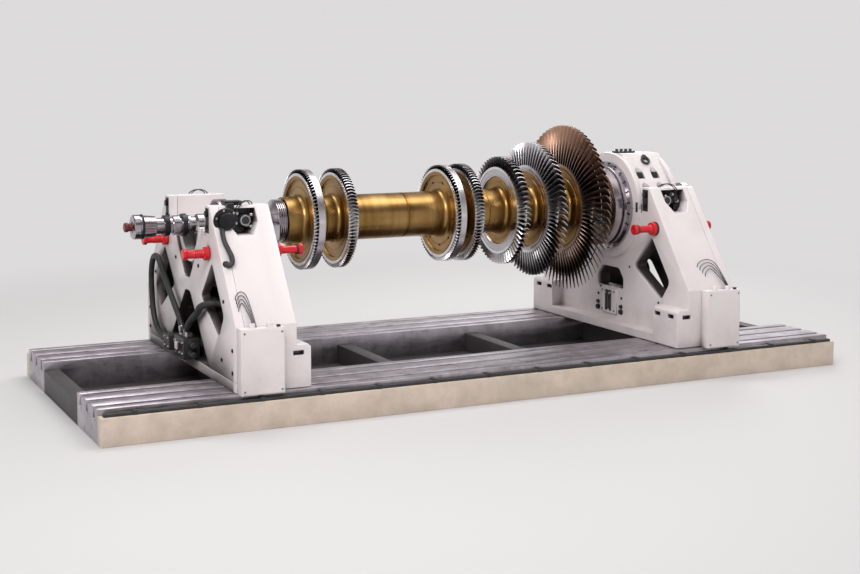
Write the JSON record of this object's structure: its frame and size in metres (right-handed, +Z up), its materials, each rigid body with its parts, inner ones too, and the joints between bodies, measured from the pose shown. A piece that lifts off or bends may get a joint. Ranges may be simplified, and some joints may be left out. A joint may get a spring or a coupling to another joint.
{
  "type": "turbine rotor on bearing pedestals",
  "caption": "Bladed turbine rotor carried in two bearing pedestals on a slotted machine bed; the rotor turns about its axis.",
  "frame": {"origin": "centre of the bed's footprint, on the floor", "axes": "+X along the rotor axis towards the drive end, +Y to the far side, +Z up"},
  "size_m": [4.7, 1.9, 1.5203],
  "materials": {
    "rail_steel": "machined grey steel with T-slots",
    "dark_steel": "oily dark steel",
    "cream_paint": "cream machine paint",
    "black_plastic": "black cable trunking",
    "white_paint": "off-white machine paint, satin",
    "bearing_metal": "bored bearing metal",
    "polished_steel": "polished and ground steel",
    "red_paint": "red paint",
    "machine_steel": "machined steel, oily",
    "black_steel": "black oxide steel",
    "black_rubber": "black hydraulic hose",
    "tinted_steel": "steel with a lilac tint",
    "gold_steel": "satin gold-brown heat-tinted rotor steel",
    "brown_blades": "brown to copper blade patina",
    "blade_steel": "bright blade steel"
  },
  "bodies": {
    "pedestals": {"bed_rail_front": "rail_steel", "bed_rail_back": "rail_steel", "bed_cross_beams": "dark_steel", "bed_pit_tray": "dark_steel", "bed_side_beams": "cream_paint", "cable_run": "black_plastic", "left_frame": "white_paint", "left_outer_plate": "white_paint", "left_bearing_carrier": "white_paint", "left_bearing_lower": "bearing_metal", "left_seal_ring": "polished_steel", "left_spools": "red_paint", "left_stiffness_unit": "machine_steel", "left_end_clamps": "black_steel", "left_junction_box": "white_paint", "left_hydraulic_block": "black_steel", "left_hoses": "black_rubber", "left_oil_guard": "tinted_steel", "right_frame": "white_paint", "right_outer_plate": "white_paint", "right_bearing_carrier": "white_paint", "right_bearing_lower": "bearing_metal", "right_bearing_upper": "bearing_metal", "right_bearing_cap": "white_paint", "right_cap_fittings": "black_steel", "right_seal_ring": "polished_steel", "right_spools": "red_paint", "right_stiffness_unit": "machine_steel", "right_end_clamps": "black_steel", "right_junction_box": "white_paint", "right_hydraulic_block": "black_steel", "right_hoses": "black_rubber"},
    "rotor": {"rotor_shaft": "polished_steel", "rotor_drum": "gold_steel", "gland_sleeve": "polished_steel", "disc_1": "gold_steel", "disc_2": "gold_steel", "disc_3": "gold_steel", "disc_4": "gold_steel", "disc_5": "gold_steel", "disc_6": "gold_steel", "disc_7": "gold_steel", "blades_1": "blade_steel", "blades_2": "blade_steel", "blades_3": "blade_steel", "blades_4": "blade_steel", "blades_5": "blade_steel", "blades_6": "blade_steel", "blades_7": "brown_blades"}
  },
  "joints": [
    {"name": "rotor_spin", "type": "hinge", "parent": "pedestals", "child": "rotor", "pos_m": [0, 0, 0.99], "axis": [1, 0, 0], "continuous": true}
  ]
}
